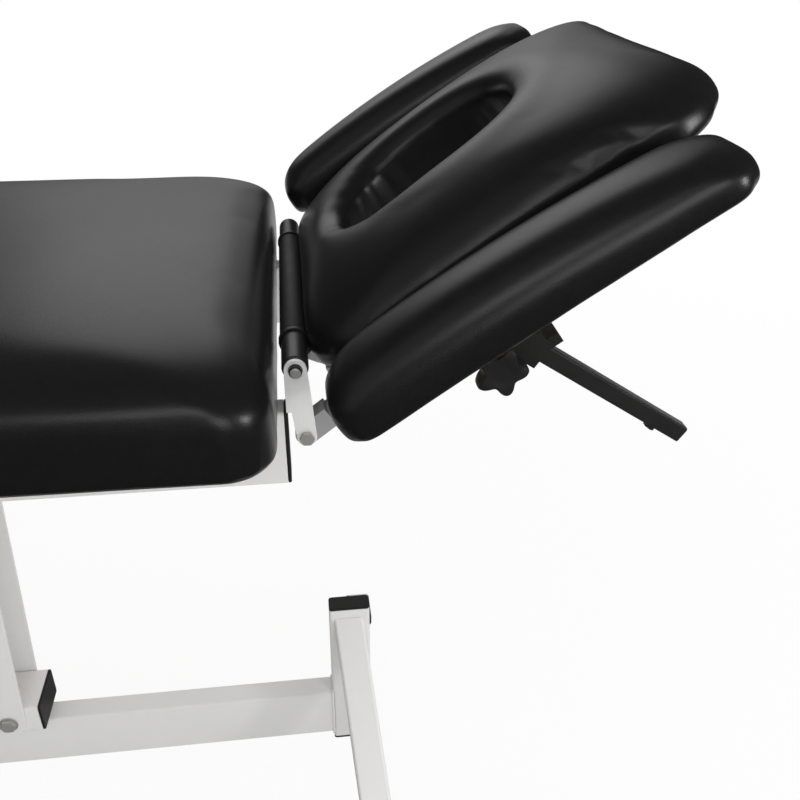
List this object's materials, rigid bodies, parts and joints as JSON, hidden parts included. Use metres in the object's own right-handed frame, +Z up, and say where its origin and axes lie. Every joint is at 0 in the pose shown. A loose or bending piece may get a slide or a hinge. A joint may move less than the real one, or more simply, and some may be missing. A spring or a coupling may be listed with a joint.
{
  "type": "electric massage table",
  "caption": "Electric massage table: padded black top on a light grey parallel-arm lift frame, with a tilting head section that has a face slot and sliding armrests.",
  "frame": {"origin": "on the floor, under the middle of the table's box", "axes": "+X to the head end, -Y to the side with the gas spring, +Z up"},
  "size_m": [1.8112, 0.7368, 1.0779],
  "materials": {
    "frame_paint": "satin light grey powder coat",
    "leatherette": "black synthetic leather with a soft sheen",
    "black_plastic": "moulded black plastic",
    "black_paint": "black painted steel",
    "plywood": "bare plywood",
    "zinc_steel": "zinc plated steel",
    "rubber": "black rubber",
    "spring_grey": "grey painted steel",
    "housing_grey": "dark grey moulded plastic"
  },
  "bodies": {
    "base": {"actuator_bolt": "zinc_steel", "actuator_bracket": "frame_paint", "base_tube": "frame_paint", "control_box": "housing_grey", "foot_arm_base_bolt": "zinc_steel", "foot_block_cap": "black_plastic", "foot_leg_far": "frame_paint", "foot_leg_near": "frame_paint", "foot_pivot_block": "frame_paint", "foot_post": "frame_paint", "foot_post_cap": "black_plastic", "head_arm_base_bolt": "zinc_steel", "head_block_cap": "black_plastic", "head_leg_far": "frame_paint", "head_leg_near": "frame_paint", "head_pivot_block": "frame_paint", "head_post": "frame_paint", "head_post_cap": "black_plastic", "mains_inlet": "black_plastic", "rubber_foot_foot_far": "rubber", "rubber_foot_foot_near": "rubber", "rubber_foot_head_far": "rubber", "rubber_foot_head_near": "rubber"},
    "head_lift_arm": {"head_lift_arm": "frame_paint"},
    "foot_lift_arm": {"foot_lift_arm": "frame_paint"},
    "gas_spring_barrel": {"gas_spring_barrel": "spring_grey"},
    "gas_spring_rod": {"gas_spring_rod": "zinc_steel"},
    "actuator_barrel": {"actuator_barrel": "housing_grey"},
    "actuator_rod": {"actuator_rod": "zinc_steel"},
    "near_knob": {"near_star_knob": "black_plastic"},
    "far_knob": {"far_star_knob": "black_plastic"},
    "near_armrest": {"near_armrest_cushion": "leatherette", "near_armrest_board": "plywood", "near_armrest_bar": "black_paint"},
    "far_armrest": {"far_armrest_cushion": "leatherette", "far_armrest_board": "plywood", "far_armrest_bar": "black_paint"},
    "head_frame": {"near_head_tube": "frame_paint", "far_head_tube": "frame_paint", "head_tip_tube": "frame_paint", "near_armrest_clamp": "black_paint", "far_armrest_clamp": "black_paint", "head_board": "plywood", "head_cushion": "leatherette"},
    "top_frame": {"near_rail": "frame_paint", "far_rail": "frame_paint", "near_rail_cap": "black_plastic", "far_rail_cap": "black_plastic", "front_cross_tube": "frame_paint", "head_cross_tube": "frame_paint", "foot_cross_tube": "frame_paint", "head_arm_top_bolt": "zinc_steel", "foot_arm_top_bolt": "zinc_steel", "main_board": "plywood", "main_cushion": "leatherette", "near_hinge_bracket": "frame_paint", "far_hinge_bracket": "frame_paint", "hinge_shaft": "black_paint", "gas_spring_bolt": "zinc_steel"}
  },
  "joints": [
    {"name": "lift", "type": "hinge", "parent": "base", "child": "head_lift_arm", "pos_m": [0.11435, 0, 0.215], "axis": [0, 1, 0], "range_deg": [0, 59]},
    {"name": "top_stays_level", "type": "hinge", "parent": "head_lift_arm", "child": "top_frame", "pos_m": [0.13869, 0, 0.6794], "axis": [0, 1, 0], "range_deg": [-59, 0]},
    {"name": "foot_arm_swing", "type": "hinge", "parent": "base", "child": "foot_lift_arm", "pos_m": [-0.50565, 0, 0.215], "axis": [0, 1, 0], "range_deg": [0, 59]},
    {"name": "actuator_swing", "type": "hinge", "parent": "base", "child": "actuator_barrel", "pos_m": [-0.00565, 0.0043, 0.235], "axis": [0, 1, 0], "range_deg": [-14.49, 0]},
    {"name": "actuator_stroke", "type": "slide", "parent": "actuator_barrel", "child": "actuator_rod", "axis": [-0.9558, 0, 0.2941], "range_m": [-0.12941, 0]},
    {"name": "head_tilt", "type": "hinge", "parent": "top_frame", "child": "head_frame", "pos_m": [0.53135, 0, 0.822], "axis": [0, 1, 0], "range_deg": [0, 63]},
    {"name": "gas_spring_swing", "type": "hinge", "parent": "top_frame", "child": "gas_spring_barrel", "pos_m": [0.53885, -0.1847, 0.75], "axis": [0, 1, 0], "range_deg": [0, 62.65]},
    {"name": "gas_spring_stroke", "type": "slide", "parent": "gas_spring_barrel", "child": "gas_spring_rod", "axis": [0.784, 0, 0.6208], "range_m": [-0.07564, 0]},
    {"name": "near_armrest_slide", "type": "slide", "parent": "head_frame", "child": "near_armrest", "axis": [-0.8358, 0, 0.549], "range_m": [0, 0.04]},
    {"name": "far_armrest_slide", "type": "slide", "parent": "head_frame", "child": "far_armrest", "axis": [-0.8358, 0, 0.549], "range_m": [-0.0326, 0.0074]},
    {"name": "near_knob_turn", "type": "hinge", "parent": "head_frame", "child": "near_knob", "pos_m": [0.70143, -0.25, 0.85195], "axis": [0, -1, 0], "continuous": true},
    {"name": "far_knob_turn", "type": "hinge", "parent": "head_frame", "child": "far_knob", "pos_m": [0.70143, 0.25, 0.85195], "axis": [0, 1, 0], "continuous": true}
  ],
  "couplings": [
    {"joint": "top_stays_level", "follows": "lift", "ratio": -1},
    {"joint": "foot_arm_swing", "follows": "lift", "ratio": 1},
    {"joint": "actuator_swing", "follows": "lift", "ratio": -0.24563},
    {"joint": "actuator_stroke", "follows": "lift", "m_per_rad": -0.12566},
    {"joint": "gas_spring_swing", "follows": "head_tilt", "ratio": 0.99443},
    {"joint": "gas_spring_stroke", "follows": "head_tilt", "m_per_rad": -0.068785}
  ]
}
